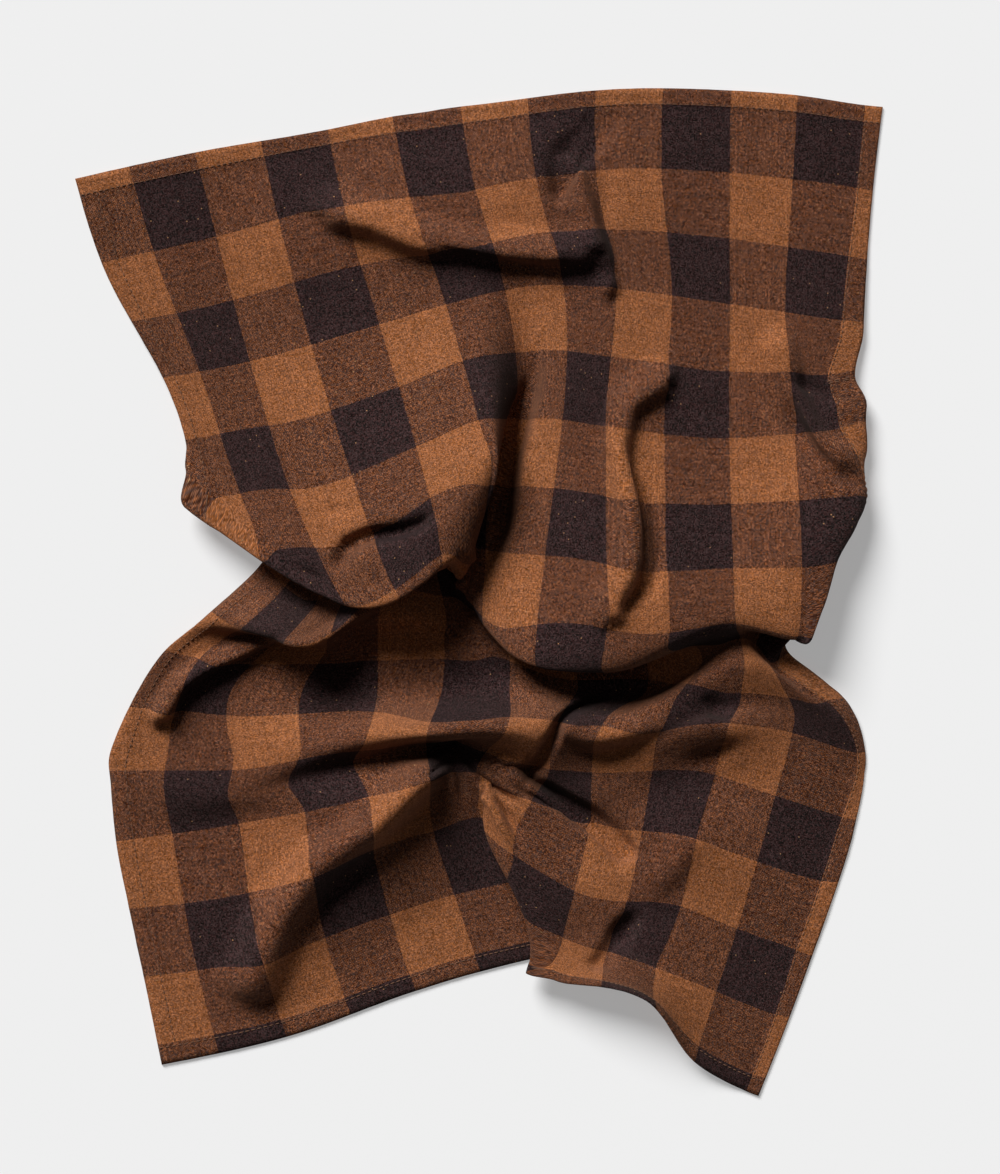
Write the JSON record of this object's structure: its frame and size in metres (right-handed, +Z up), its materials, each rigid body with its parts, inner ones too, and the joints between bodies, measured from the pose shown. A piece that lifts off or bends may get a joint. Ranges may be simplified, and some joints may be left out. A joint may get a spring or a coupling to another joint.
{
  "type": "tea towel",
  "caption": "Checked woven cotton tea towel with hemmed edges, laid out loosely with gathered cross folds, a pinched waist and a small bunched knot of cloth.",
  "frame": {"origin": "centre of the laid cloth's footprint, on the surface it lies on", "axes": "+Z up from the surface, +Y along the cloth's length towards its top hem, +X across it to the right"},
  "size_m": [0.494, 0.6164, 0.0524],
  "materials": {
    "checked_cloth": "matte plain weave"
  },
  "bodies": {
    "root": {"towel": "checked_cloth"}
  },
  "joints": []
}
